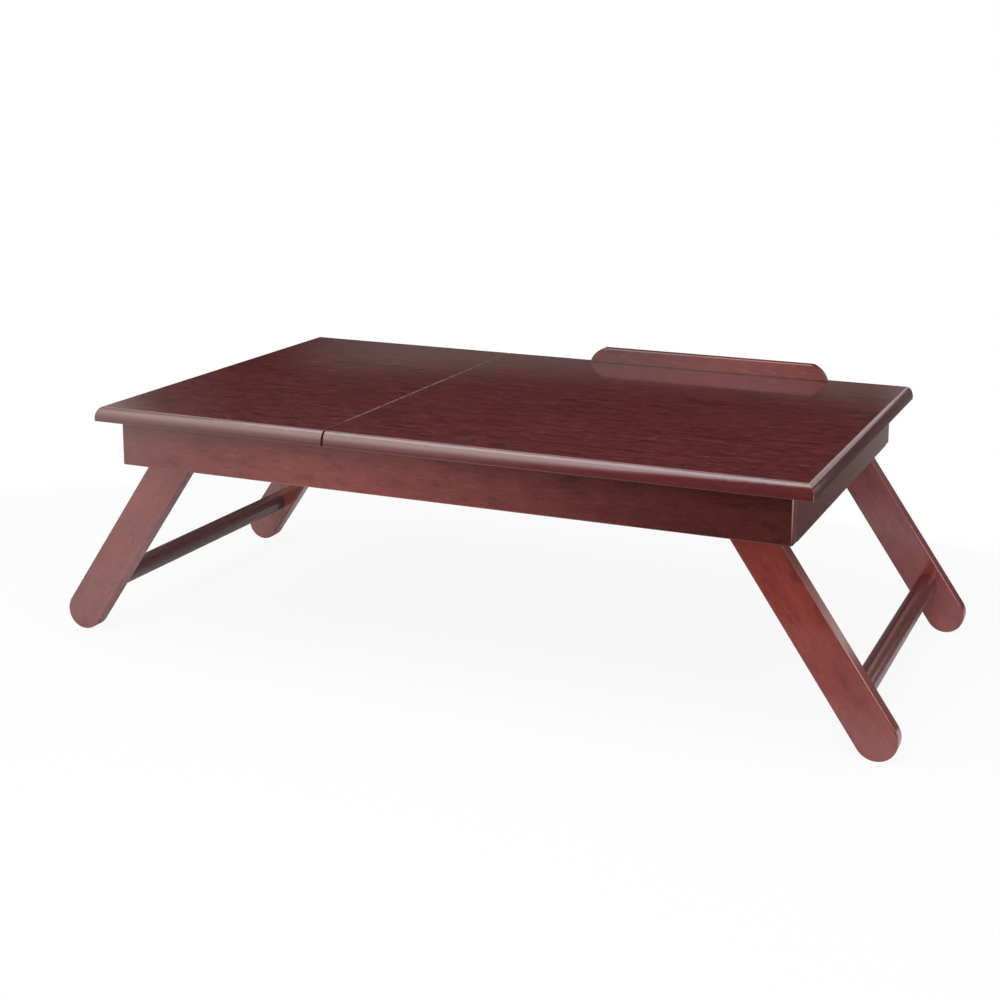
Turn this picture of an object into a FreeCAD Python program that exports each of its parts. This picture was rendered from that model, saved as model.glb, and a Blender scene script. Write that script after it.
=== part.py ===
"""Folding lap table: a wooden tray top on two splayed pairs of legs.

The right part of the top tilts up on butt hinges and is held by a bent wire
prop.  The left part is fixed and has a drawer under it.  Both pairs of legs
fold inwards between the aprons.

Frame: millimetres, +Z up, +X towards the right end, +Y towards the user's
side, where the hinges and the book ledge are.  The origin is on the floor
under the middle of the top.
"""
import FreeCAD, Part
import math
import os

V = FreeCAD.Vector

# ---- the top
top_length = 630.0
top_depth = 376.0
top_height = 216.0
top_thick = 12.5
edge_round_in = 6.0
edge_round_down = 10.0
cutter_margin = 1.0
edge_arris = 0.8
corner_arris = 0.6
seam_arris = 0.5
seam_x = -91.0
seam_gap = 1.6

# ---- the apron frame under it
apron_height = 39.5
apron_thick = 14.0
end_apron_thick = 16.0
end_overhang = 18.0
side_overhang = 13.5
apron_arris = 1.0
apron_corner_round = 2.0
post_width = 29.0
end_rail_height = 7.0
glue_block_leg = 10.0
glue_block_height = 15.0

# ---- legs
leg_width = 34.0
leg_thick = 14.0
leg_splay_deg = 34.2
leg_arris = 1.2
leg_to_apron = 4.0
leg_under_frame = 0.25
dowel_radius = 9.25
dowel_up_leg = 31.4
tenon_radius = 5.0
tenon_length = 9.0
pivot_shoulder_radius = 3.0
pivot_thread_radius = 2.4
pivot_thread_length = 9.0
pivot_head_radius = 6.0
pivot_head_height = 3.0
pivot_washer_radius = 8.0
inner_washer_thick = 1.0

# ---- drawer and what carries it
drawer_side_thick = 8.0
drawer_front_thick = 12.0
drawer_front_lip = 3.0
drawer_back_thick = 8.0
drawer_bottom_thick = 3.5
drawer_side_height = 24.5
drawer_back_extra = 4.5
drawer_groove_up = 2.5
drawer_groove_depth = 4.0
drawer_to_divider = 5.0
drawer_gap = 0.5
runner_web = 8.0
runner_foot = 9.0
runner_foot_thick = 4.0
runner_lift = 1.5
stop_block_length = 60.0
stop_block_width = 10.0
stop_block_height = 8.0
stop_from_rail = 17.4
knob_projection = 15.5
knob_radius = 9.0
knob_neck_radius = 4.5
knob_base_flare = 2.0
knob_dome_rise = 2.4

# ---- divider rail under the seam
divider_thick = 11.5
divider_back_from_seam = 7.0
divider_height = 36.0
divider_half_width = 136.5
divider_screw_far_y = -85.0
divider_screw_user_y = 105.0

# ---- book ledge
ledge_start = 1.0
ledge_length = 235.5
ledge_height = 14.8
ledge_thick = 8.5
ledge_end_radius = 22.0
ledge_arris = 1.5
ledge_let_in = 0.6

# ---- hinges
hinge_width = 40.0
hinge_leaf_depth = 12.0
hinge_leaf_thick = 1.2
hinge_knuckle_radius = 2.5
hinge_pin_radius = 1.2
hinge_knuckles = 5
hinge_from_panel_ends = 60.0
hinge_off_apron = 0.2
leaf_gap = 0.1

# ---- wire prop
wire_radius = 2.5
prop_arm = 105.0
prop_arm_inset = 10.0
prop_bend_radius = 8.0
foot_bend_radius = 5.0
prop_right_inset = 18.0
prop_below_panel = 2.8
prop_stop_degrees = (12.0, 20.0, 27.0, 33.0)
plate_thick = 1.5
plate_height = 12.0
plate_margin = 9.0
tooth_depth = 3.4
tooth_slot = 5.4
tooth_slope = 2.4
saddle_width = 12.0
saddle_thick = 1.2
saddle_ear = 9.0
saddle_inset = 35.0
plate_screw_inset = 6.5
plate_screw_up = 3.6

# ---- clearances
running_gap = 0.3
bore_gap = 0.05
rest_gap = 0.35

# ---- wood screws
screw_radius = 1.6
screw_head_radius = 3.2
screw_head_height = 1.8
small_screw_radius = 1.1
small_head_radius = 2.2
small_screw_length = 9.0
leaf_screw_length = 8.0
well_gap = 0.4
screw_slot_depth = 1.2
panel_bite = 8.0

# ---- levels and faces worked out from the sizes above
half_length = top_length / 2
half_depth = top_depth / 2
panel_bottom = top_height - top_thick
apron_bottom = panel_bottom - apron_height
frame_end = half_length - end_overhang
frame_side = half_depth - side_overhang
inner_end = frame_end - end_apron_thick
inner_side = frame_side - apron_thick
fixed_edge = seam_x - seam_gap / 2
flip_edge = seam_x + seam_gap / 2
leg_outer_y = inner_side - leg_to_apron
leg_inner_y = leg_outer_y - leg_thick

splay = math.radians(leg_splay_deg)
foot_radius = leg_width / 2
pivot_z = apron_bottom + foot_radius + leg_under_frame
leg_reach = (pivot_z - foot_radius) / math.cos(splay)
stop_offset = foot_radius + running_gap + (pivot_z - apron_bottom) * math.sin(splay)
pivot_x = inner_end - stop_offset / math.cos(splay)
foot_x = pivot_x + leg_reach * math.sin(splay)

divider_right = fixed_edge - divider_back_from_seam
divider_left = divider_right - divider_thick

opening_half = inner_side - post_width
drawer_front_half = opening_half - drawer_gap
drawer_half = drawer_front_half - drawer_front_lip
front_bottom = apron_bottom + drawer_gap
front_top = panel_bottom - end_rail_height - drawer_gap
foot_bottom = apron_bottom + runner_lift
foot_top = foot_bottom + runner_foot_thick
drawer_bottom_z = foot_top + running_gap
drawer_back_x = divider_left - drawer_to_divider
drawer_front_back = -frame_end + drawer_front_thick
runner_inner = drawer_half + drawer_gap
stop_right = -inner_end + stop_from_rail + stop_block_width
drawer_travel = drawer_back_x - drawer_back_thick - running_gap - stop_right

hinge_y = frame_side + hinge_knuckle_radius + hinge_off_apron
hinge_z = panel_bottom
hinge_starts = (flip_edge + hinge_from_panel_ends - hinge_width / 2,
                half_length - hinge_from_panel_ends - hinge_width / 2)

prop_tilt = math.asin(prop_below_panel / prop_arm)
prop_y = hinge_y - prop_arm * math.cos(prop_tilt)
prop_z = hinge_z - prop_arm * math.sin(prop_tilt)
arm_left = flip_edge + prop_arm_inset
arm_right = inner_end - prop_right_inset
ledge_back = half_depth - edge_round_in


# ---- small helpers
def box(x0, x1, y0, y1, z0, z1):
    return Part.makeBox(x1 - x0, y1 - y0, z1 - z0, V(x0, y0, z0))


def rod(start, direction, length, radius):
    return Part.makeCylinder(radius, length, start, direction)


def ring(start, direction, length, outer, inner):
    return rod(start, direction, length, outer).cut(rod(start, direction, length, inner))


def prism(points, push):
    face = Part.Face(Part.makePolygon(points + [points[0]]))
    return face.extrude(push)


def soften(shape, radius, wanted):
    edges = [e for e in shape.Edges if wanted(e)]
    return shape.makeFillet(radius, edges) if edges else shape


def is_flat_at(edge, axis, value):
    spots = [getattr(v.Point, axis) for v in edge.Vertexes]
    return all(abs(s - value) < 1e-6 for s in spots)


def wood_screw(head_at, direction, length, radius=screw_radius, head=screw_head_radius):
    """Countersunk screw: the flat of its head lies at head_at."""
    d = V(direction)
    cone = Part.makeCone(head, radius, screw_head_height, head_at, d)
    return cone.fuse(rod(head_at + d * screw_head_height, d, length - screw_head_height, radius))


def small_screw(head_at, direction, length):
    return wood_screw(head_at, direction, length, small_screw_radius, small_head_radius)


def group(solids):
    return Part.makeCompound(solids)


def mirror_y(shape):
    return shape.mirror(V(0, 0, 0), V(0, 1, 0))


def mirror_x(shape):
    return shape.mirror(V(0, 0, 0), V(1, 0, 0))


# ---- top
def moulding_waste():
    """What the moulding cutter takes off an edge, along +Y at X = 0, Z = top."""
    centre = V(-edge_round_in, 0, top_height - edge_round_down)
    crown = centre + V(0, 0, edge_round_down)
    side = centre + V(edge_round_in, 0, 0)
    curve = Part.ArcOfEllipse(Part.Ellipse(crown, side, centre), 0, math.pi / 2)
    over = crown + V(0, 0, cutter_margin)
    beside = side + V(cutter_margin, 0, 0)
    corners = [crown, over, V(beside.x, 0, over.z), beside, side]
    sides = [Part.makeLine(p, q) for p, q in zip(corners, corners[1:])]
    return Part.Face(Part.Wire(sides + [curve.toShape()]))


def moulding_cut(length, turn, move):
    waste = moulding_waste().extrude(V(0, length, 0))
    waste.translate(V(0, -length / 2, 0))
    waste.rotate(V(0, 0, 0), V(0, 0, 1), turn)
    waste.translate(move)
    return waste


def tray_panel(x0, x1, moulded_x):
    """Board with a quarter-oval moulding on its two long sides and one end."""
    board = box(x0, x1, -half_depth, half_depth, panel_bottom, top_height)
    board = board.cut(moulding_cut(2 * top_length, 90, V(0, half_depth, 0)))
    board = board.cut(moulding_cut(2 * top_length, -90, V(0, -half_depth, 0)))
    board = board.cut(moulding_cut(2 * top_depth, 0 if moulded_x > 0 else 180, V(moulded_x, 0, 0)))
    seam = x0 if moulded_x > 0 else x1

    def on_side(edge):
        return is_flat_at(edge, "y", half_depth) or is_flat_at(edge, "y", -half_depth)

    def on_end(edge):
        return is_flat_at(edge, "x", moulded_x)

    def under(edge):
        return is_flat_at(edge, "z", panel_bottom) and (on_side(edge) or on_end(edge))

    board = soften(board, edge_arris, under)
    board = soften(board, corner_arris, lambda e: on_side(e) and on_end(e))
    return soften(board, seam_arris, lambda e: is_flat_at(e, "x", seam) and is_flat_at(e, "z", top_height))


def fixed_top_panel():
    panel = tray_panel(-half_length, fixed_edge, -half_length)
    for hole in runner_screws() + divider_screws() + stop_screws():
        panel = panel.cut(hole)
    return panel


def flip_top_panel():
    panel = tray_panel(flip_edge, half_length, half_length)
    groove = hinge_knuckle_radius + 2 * bore_gap + running_gap
    for x0 in hinge_starts:
        x1 = x0 + hinge_width
        y0 = frame_side - hinge_leaf_depth - drawer_gap
        panel = panel.cut(box(x0 - drawer_gap, x1 + drawer_gap, y0, hinge_y,
                              panel_bottom, panel_bottom + leaf_gap + hinge_leaf_thick))
        panel = panel.cut(rod(V(x0 - drawer_gap, hinge_y, hinge_z), V(1, 0, 0),
                              hinge_width + 2 * drawer_gap, groove))
    panel = panel.cut(ledge_housing())
    for hole in ledge_screws() + panel_leaf_screws() + saddle_screws():
        panel = panel.cut(hole)
    return panel


def ledge_outline(x, run):
    """Points of one end arc, from the foot of the ledge to its top."""
    chord = math.hypot(run, ledge_height)
    sag = ledge_end_radius - math.sqrt(ledge_end_radius ** 2 - (chord / 2) ** 2)
    side = 1 if run > 0 else -1
    middle = V(x + run / 2 - side * sag * ledge_height / chord, 0,
               top_height + ledge_height / 2 + sag * abs(run) / chord)
    return V(x, 0, top_height), middle, V(x + run, 0, top_height + ledge_height)


def ledge_housing():
    """Shallow slot in the top that the foot of the ledge is let into."""
    return box(ledge_start, ledge_start + ledge_length, ledge_back - ledge_thick, ledge_back,
               top_height - ledge_let_in, top_height)


def book_ledge():
    low_l, mid_l, high_l = ledge_outline(ledge_start, ledge_height)
    low_r, mid_r, high_r = ledge_outline(ledge_start + ledge_length, -ledge_height)
    edges = [Part.Arc(low_l, mid_l, high_l).toShape(),
             Part.makeLine(high_l, high_r),
             Part.Arc(high_r, mid_r, low_r).toShape(),
             Part.makeLine(low_r, low_l)]
    strip = Part.Face(Part.Wire(edges)).extrude(V(0, ledge_thick, 0))
    strip.translate(V(0, ledge_back - ledge_thick, 0))

    def long_top_edge(edge):
        return is_flat_at(edge, "z", top_height + ledge_height) and edge.Length > ledge_length / 2

    strip = soften(strip, ledge_arris, long_top_edge).fuse(ledge_housing()).removeSplitter()
    for hole in ledge_screws():
        strip = strip.cut(hole)
    return strip


def ledge_screws():
    y = ledge_back - ledge_thick / 2
    stations = [ledge_start + ledge_length * k / 6 for k in (1, 3, 5)]
    return [wood_screw(V(x, y, panel_bottom), V(0, 0, 1), top_thick + panel_bite) for x in stations]


# ---- apron frame
def side_apron():
    """Long apron on the user's side, before its hinge mortises."""
    board = box(-frame_end, frame_end, inner_side, frame_side, apron_bottom, panel_bottom)

    def corner(edge):
        at_end = is_flat_at(edge, "x", frame_end) or is_flat_at(edge, "x", -frame_end)
        return at_end and is_flat_at(edge, "y", frame_side)

    def under(edge):
        spots = [v.Point.y for v in edge.Vertexes]
        return is_flat_at(edge, "z", apron_bottom) and min(spots) > frame_side - 2 * apron_corner_round

    board = soften(board, apron_corner_round, corner)
    board = soften(board, apron_arris, under)
    for x in (pivot_x, -pivot_x):
        board = board.cut(rod(V(x, inner_side, pivot_z), V(0, 1, 0),
                              pivot_thread_length + drawer_gap, pivot_thread_radius + bore_gap))
    return board


def user_side_apron():
    board = side_apron()
    for x0 in hinge_starts:
        board = board.cut(box(x0 - drawer_gap, x0 + hinge_width + drawer_gap,
                              frame_side - hinge_leaf_depth - drawer_gap, frame_side,
                              panel_bottom - leaf_gap - hinge_leaf_thick, panel_bottom))
    for hole in frame_leaf_screws():
        board = board.cut(hole)
    return board


def far_side_apron():
    return mirror_y(side_apron())


def right_end_apron():
    board = box(inner_end, frame_end, -inner_side, inner_side, apron_bottom, panel_bottom)
    for hole in plate_screws(inner_end - plate_thick, 1):
        board = board.cut(hole)
    return board


def left_end_rail():
    return box(-frame_end, -inner_end, -inner_side, inner_side,
               panel_bottom - end_rail_height, panel_bottom)


def left_end_post_user():
    return box(-frame_end, -inner_end, opening_half, inner_side,
               apron_bottom, panel_bottom - end_rail_height)


def left_end_post_far():
    return mirror_y(left_end_post_user())


def corner_glue_blocks():
    low = panel_bottom - glue_block_height
    corner = V(inner_end, inner_side, low)
    block = prism([corner, corner - V(glue_block_leg, 0, 0), corner - V(0, glue_block_leg, 0)],
                  V(0, 0, glue_block_height))
    pair = [block, mirror_y(block)]
    return group(pair + [mirror_x(b) for b in pair])


def divider_rail():
    rail = box(divider_left, divider_right, -divider_half_width, divider_half_width,
               panel_bottom - divider_height, panel_bottom)
    for y in divider_screw_stations():
        rail = rail.cut(screw_well(V((divider_left + divider_right) / 2, y, 0),
                                   panel_bottom - divider_height))
    for hole in plate_screws(divider_right + plate_thick, -1) + divider_screws():
        rail = rail.cut(hole)
    return rail


# ---- screws that go up through a deep rail into the top
def screw_well(at, bottom):
    """Clearance bore under a screw head, from the rail's lower edge."""
    head_level = panel_bottom - panel_bite
    return rod(V(at.x, at.y, bottom), V(0, 0, 1), head_level - bottom, screw_head_radius + well_gap)


def rail_screw(x, y):
    return wood_screw(V(x, y, panel_bottom - panel_bite), V(0, 0, 1), 2 * panel_bite)


def runner_screw_stations():
    y = runner_inner + runner_web / 2
    span = inner_end + divider_left
    return [(divider_left - span * k / 4, side * y) for k in (1, 3) for side in (-1, 1)]


def runner_screws():
    return [rail_screw(x, y) for x, y in runner_screw_stations()]


def divider_screw_stations():
    return divider_screw_far_y, divider_screw_user_y


def divider_screws():
    x = (divider_left + divider_right) / 2
    return [rail_screw(x, y) for y in divider_screw_stations()]


# ---- drawer runners and stop
def drawer_runner_user():
    """L-shaped runner: its foot carries the lower edge of the drawer side."""
    web = box(-inner_end, divider_left, runner_inner, runner_inner + runner_web,
              foot_bottom, panel_bottom)
    foot = box(-inner_end, divider_left, runner_inner - runner_foot, runner_inner,
               foot_bottom, foot_top)
    runner = web.fuse(foot).removeSplitter()
    for x, y in runner_screw_stations():
        runner = runner.cut(screw_well(V(x, y, 0), foot_bottom))
    for hole in runner_screws():
        runner = runner.cut(hole)
    return runner


def drawer_runner_far():
    return mirror_y(drawer_runner_user())


def drawer_stop_block():
    """Block under the top that the drawer back meets at the end of its travel."""
    block = box(stop_right - stop_block_width, stop_right,
                -stop_block_length / 2, stop_block_length / 2,
                panel_bottom - stop_block_height, panel_bottom)
    for hole in stop_screws():
        block = block.cut(hole)
    return block


def stop_screws():
    x = stop_right - stop_block_width / 2
    return [wood_screw(V(x, y, panel_bottom - stop_block_height), V(0, 0, 1),
                       stop_block_height + panel_bite)
            for y in (-stop_block_length / 4, stop_block_length / 4)]


# ---- drawer
def bottom_groove():
    """Slot for the drawer bottom, cut into the sides and the front."""
    low = drawer_bottom_z + drawer_groove_up
    reach = drawer_half - drawer_side_thick + drawer_groove_depth
    return box(drawer_front_back - drawer_groove_depth, drawer_back_x, -reach, reach,
               low, low + drawer_bottom_thick)


def drawer_front():
    board = box(-frame_end, drawer_front_back, -drawer_front_half, drawer_front_half,
                front_bottom, front_top)
    board = soften(board, apron_arris, lambda e: is_flat_at(e, "x", -frame_end))
    return board.cut(bottom_groove()).cut(knob_screw())


def drawer_side_user():
    side = box(drawer_front_back, drawer_back_x, drawer_half - drawer_side_thick, drawer_half,
               drawer_bottom_z, drawer_bottom_z + drawer_side_height)
    return side.cut(bottom_groove())


def drawer_side_far():
    return mirror_y(drawer_side_user())


def drawer_back():
    inner = drawer_half - drawer_side_thick
    low = drawer_bottom_z + drawer_groove_up + drawer_bottom_thick
    return box(drawer_back_x - drawer_back_thick, drawer_back_x, -inner, inner,
               low, drawer_bottom_z + drawer_side_height + drawer_back_extra)


def drawer_bottom():
    reach = drawer_half - drawer_side_thick + drawer_groove_depth - bore_gap
    low = drawer_bottom_z + drawer_groove_up
    return box(drawer_front_back - drawer_groove_depth + bore_gap, drawer_back_x, -reach, reach,
               low, low + drawer_bottom_thick)


def knob_z():
    return (front_bottom + front_top) / 2


def drawer_knob():
    """Turned knob: a flared base, a hollow neck, a round rim and a domed crown."""
    def at(out, radius):
        return V(-frame_end - out, 0, radius)

    neck_out = (knob_projection - knob_dome_rise) * 0.55
    rim_out = knob_projection - knob_dome_rise
    crown_edge = knob_radius * 0.8
    dome = (crown_edge ** 2 + knob_dome_rise ** 2) / (2 * knob_dome_rise)
    half = math.asin(crown_edge / dome) / 2
    dome_middle = at(knob_projection - dome * (1 - math.cos(half)), dome * math.sin(half))
    edges = [Part.makeLine(at(0, 0), at(0, knob_neck_radius + knob_base_flare)),
             Part.Arc(at(0, knob_neck_radius + knob_base_flare), at(neck_out / 2, knob_neck_radius),
                      at(neck_out, knob_neck_radius + knob_base_flare / 2)).toShape(),
             Part.Arc(at(neck_out, knob_neck_radius + knob_base_flare / 2),
                      at((neck_out + rim_out) / 2, knob_radius), at(rim_out, crown_edge)).toShape(),
             Part.Arc(at(rim_out, crown_edge), dome_middle, at(knob_projection, 0)).toShape(),
             Part.makeLine(at(knob_projection, 0), at(0, 0))]
    knob = Part.Face(Part.Wire(edges)).revolve(V(0, 0, 0), V(1, 0, 0), 360)
    knob.translate(V(0, 0, knob_z()))
    return knob.cut(knob_screw())


def knob_screw():
    return wood_screw(V(drawer_front_back, 0, knob_z()), V(-1, 0, 0), drawer_front_thick + panel_bite)


# ---- legs
def leg_direction():
    return V(math.sin(splay), 0, -math.cos(splay))


def leg_blank():
    """Board with full-round ends about the pivot and the foot centre."""
    along = leg_direction() * leg_reach
    across = V(math.cos(splay), 0, math.sin(splay)) * foot_radius
    top = V(pivot_x, leg_inner_y, pivot_z)
    foot = top + along
    head_end = top - leg_direction() * foot_radius
    foot_end = foot + leg_direction() * foot_radius
    edges = [Part.makeLine(top + across, foot + across),
             Part.Arc(foot + across, foot_end, foot - across).toShape(),
             Part.makeLine(foot - across, top - across),
             Part.Arc(top - across, head_end, top + across).toShape()]
    blank = Part.Face(Part.Wire(edges)).extrude(V(0, leg_thick, 0))
    return soften(blank, leg_arris,
                  lambda e: is_flat_at(e, "y", leg_inner_y) or is_flat_at(e, "y", leg_outer_y))


def dowel_centre():
    return V(foot_x, 0, foot_radius) - leg_direction() * dowel_up_leg


def right_user_leg():
    leg = leg_blank()
    leg = leg.cut(rod(V(pivot_x, leg_inner_y, pivot_z), V(0, 1, 0), leg_thick,
                      pivot_shoulder_radius + bore_gap))
    socket = dowel_centre() + V(0, leg_inner_y, 0)
    return leg.cut(rod(socket, V(0, 1, 0), tenon_length + bore_gap, tenon_radius + bore_gap))


def right_cross_dowel():
    """Round bar between the legs, with a turned tenon at each end."""
    bar = rod(dowel_centre() - V(0, leg_inner_y, 0), V(0, 1, 0), 2 * leg_inner_y, dowel_radius)
    tenons = rod(dowel_centre() - V(0, leg_inner_y + tenon_length, 0), V(0, 1, 0),
                 2 * (leg_inner_y + tenon_length), tenon_radius)
    return bar.fuse(tenons).removeSplitter()


def pivot_screw(x):
    """Shoulder screw on the user's side: head inside, thread in the apron."""
    head_face = leg_inner_y - running_gap - inner_washer_thick
    head = rod(V(x, head_face - pivot_head_height, pivot_z), V(0, 1, 0),
               pivot_head_height, pivot_head_radius)
    head = soften(head, pivot_head_height / 3,
                  lambda e: is_flat_at(e, "y", head_face - pivot_head_height))
    shoulder = rod(V(x, head_face, pivot_z), V(0, 1, 0), inner_side - head_face,
                   pivot_shoulder_radius)
    thread = rod(V(x, inner_side, pivot_z), V(0, 1, 0), pivot_thread_length, pivot_thread_radius)
    slot = box(x - pivot_head_radius, x + pivot_head_radius, head_face - pivot_head_height,
               head_face - pivot_head_height + screw_slot_depth,
               pivot_z - screw_slot_depth / 2, pivot_z + screw_slot_depth / 2)
    return head.fuse(shoulder).fuse(thread).cut(slot)


def leg_pivot_screws():
    pair = [pivot_screw(pivot_x), pivot_screw(-pivot_x)]
    return group(pair + [mirror_y(s) for s in pair])


def leg_spacer_washers():
    bore = pivot_shoulder_radius + bore_gap
    washer = ring(V(pivot_x, inner_side - leg_to_apron + running_gap, pivot_z), V(0, 1, 0),
                  leg_to_apron - running_gap, pivot_washer_radius, bore)
    pair = [washer, mirror_x(washer)]
    return group(pair + [mirror_y(w) for w in pair])


def leg_head_washers():
    bore = pivot_shoulder_radius + bore_gap
    washer = ring(V(pivot_x, leg_inner_y - running_gap - inner_washer_thick, pivot_z), V(0, 1, 0),
                  inner_washer_thick, pivot_washer_radius, bore)
    pair = [washer, mirror_x(washer)]
    return group(pair + [mirror_y(w) for w in pair])


# ---- butt hinges
def knuckle_spans(x0, first):
    """Spans of every second knuckle, starting with the first or the second."""
    pitch = hinge_width / hinge_knuckles
    inset = 0.0 if first == 0 else 2 * leaf_gap
    return [(x0 + k * pitch + inset, x0 + (k + 1) * pitch - inset)
            for k in range(first, hinge_knuckles, 2)]


def hinge_leaf(x0, first, z0, screws):
    leaf = box(x0, x0 + hinge_width, frame_side - hinge_leaf_depth, hinge_y,
               z0, z0 + hinge_leaf_thick)
    for a, b in knuckle_spans(x0, 1 - first):
        relief = 2 * leaf_gap
        leaf = leaf.cut(rod(V(a - relief, hinge_y, hinge_z), V(1, 0, 0), b - a + 2 * relief,
                            hinge_knuckle_radius + running_gap))
    for a, b in knuckle_spans(x0, first):
        leaf = leaf.fuse(rod(V(a, hinge_y, hinge_z), V(1, 0, 0), b - a, hinge_knuckle_radius))
    bore = hinge_pin_radius + bore_gap
    leaf = leaf.cut(rod(V(x0 - 1, hinge_y, hinge_z), V(1, 0, 0), hinge_width + 2, bore))
    for screw in screws:
        leaf = leaf.cut(screw)
    return leaf


def frame_leaf(x0):
    return hinge_leaf(x0, 0, panel_bottom - leaf_gap - hinge_leaf_thick, frame_leaf_screws())


def panel_leaf(x0):
    return hinge_leaf(x0, 1, panel_bottom + leaf_gap, panel_leaf_screws())


def leaf_screw_spots():
    y = frame_side - hinge_leaf_depth / 2
    return [(x0 + hinge_width * k, y) for x0 in hinge_starts for k in (0.2, 0.8)]


def frame_leaf_screws():
    level = panel_bottom - leaf_gap
    return [small_screw(V(x, y, level), V(0, 0, -1), small_screw_length) for x, y in leaf_screw_spots()]


def panel_leaf_screws():
    level = panel_bottom + leaf_gap
    return [small_screw(V(x, y, level), V(0, 0, 1), leaf_screw_length) for x, y in leaf_screw_spots()]


def hinge_pins():
    return group([rod(V(x0, hinge_y, hinge_z), V(1, 0, 0), hinge_width, hinge_pin_radius)
                  for x0 in hinge_starts])


# ---- wire prop, its saddles and the notched plates
def prop_point(x, reach):
    """Point in the plane of the closed prop, reach measured from its pivot."""
    return V(x, prop_y - reach * math.cos(prop_tilt), prop_z - reach * math.sin(prop_tilt))


def bent_path(points, radii):
    """Straight runs joined by tangent arcs at the inner points."""
    edges = []
    start = points[0]
    for before, corner, after, radius in zip(points, points[1:], points[2:], radii):
        u = (before - corner).normalize()
        w = (after - corner).normalize()
        half = u.getAngle(w) / 2
        cut = radius / math.tan(half)
        middle = (u + w).normalize() * (radius / math.sin(half) - radius)
        edges.append(Part.makeLine(start, corner + u * cut))
        edges.append(Part.Arc(corner + u * cut, corner + middle, corner + w * cut).toShape())
        start = corner + w * cut
    edges.append(Part.makeLine(start, points[-1]))
    return Part.Wire(edges)


def prop_bail():
    """Wire bent to a U, with its two feet turned outwards."""
    left_end = divider_right + running_gap
    right_end = inner_end - running_gap
    points = [prop_point(left_end, prop_arm), prop_point(arm_left, prop_arm),
              prop_point(arm_left, 0), prop_point(arm_right, 0),
              prop_point(arm_right, prop_arm), prop_point(right_end, prop_arm)]
    path = bent_path(points, [foot_bend_radius, prop_bend_radius, prop_bend_radius, foot_bend_radius])
    section = Part.Wire(Part.makeCircle(wire_radius, points[0], V(1, 0, 0)))
    return path.makePipeShell([section], True, False)


def plate_outline():
    """Notched edge, as distances from the hinge and heights under the wire."""
    reach = 2 * prop_arm
    stops = [reach * math.cos(math.radians(a)) for a in prop_stop_degrees]
    outer = reach + plate_margin / 2
    inner = stops[-1] - plate_margin
    points = [(outer, -plate_height), (outer, 0)]
    for s in stops:
        points.append((s + tooth_slot / 2, 0))
        points.append((s + tooth_slot / 2, -tooth_depth))
        points.append((s - tooth_slot / 4, -tooth_depth))
        points.append((s - tooth_slot / 4 - tooth_slope, 0))
    return points + [(inner, 0), (inner, -plate_height)]


def notch_plate(x0):
    drop = wire_radius + rest_gap
    along = V(0, -math.cos(prop_tilt), -math.sin(prop_tilt))
    up = V(0, -math.sin(prop_tilt), math.cos(prop_tilt))
    hinge = V(x0, hinge_y, hinge_z)
    points = [hinge + along * s + up * (h - drop) for s, h in plate_outline()]
    return prism(points, V(plate_thick, 0, 0))


def plate_screw_spots():
    outline = plate_outline()
    reaches = (outline[0][0] - plate_screw_inset, outline[-1][0] + plate_screw_inset)
    drop = wire_radius + rest_gap + plate_height - plate_screw_up
    return [(hinge_y - s, hinge_z - s * math.tan(prop_tilt) - drop) for s in reaches]


def plate_screws(face, side):
    """Screws whose heads lie flush in the plate's outer face."""
    return [small_screw(V(face, y, z), V(side, 0, 0), small_screw_length) for y, z in plate_screw_spots()]


def notch_plate_left():
    plate = notch_plate(divider_right)
    for hole in plate_screws(divider_right + plate_thick, -1):
        plate = plate.cut(hole)
    return plate


def notch_plate_right():
    plate = notch_plate(inner_end - plate_thick)
    for hole in plate_screws(inner_end - plate_thick, 1):
        plate = plate.cut(hole)
    return plate


def notch_plate_screws():
    return group(plate_screws(divider_right + plate_thick, -1)
                 + plate_screws(inner_end - plate_thick, 1))


def saddle_starts():
    return (arm_left + saddle_inset, arm_right - saddle_inset - saddle_width)


def saddle(x0):
    """Strap bent over the wire, with a screwed ear at each side."""
    bore = wire_radius + bore_gap
    outer = bore + saddle_thick
    strap = rod(V(x0, prop_y, prop_z), V(1, 0, 0), saddle_width, outer)
    cheeks = box(x0, x0 + saddle_width, prop_y - outer, prop_y + outer, prop_z, panel_bottom)
    strap = strap.fuse(cheeks).cut(box(x0, x0 + saddle_width, prop_y - outer, prop_y + outer,
                                       panel_bottom, panel_bottom + outer))
    ears = box(x0, x0 + saddle_width, prop_y - outer - saddle_ear, prop_y + outer + saddle_ear,
               panel_bottom - saddle_thick, panel_bottom)
    slot = box(x0, x0 + saddle_width, prop_y - bore, prop_y + bore, prop_z, panel_bottom)
    channel = slot.fuse(rod(V(x0, prop_y, prop_z), V(1, 0, 0), saddle_width, bore))
    body = strap.fuse(ears).cut(channel)
    for screw in saddle_screws():
        body = body.cut(screw)
    return body


def saddle_screws():
    offset = wire_radius + saddle_thick + saddle_ear / 2 + drawer_gap
    return [small_screw(V(x0 + saddle_width / 2, prop_y + side * offset, panel_bottom - saddle_thick),
                        V(0, 0, 1), small_screw_length)
            for x0 in saddle_starts() for side in (-1, 1)]


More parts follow.
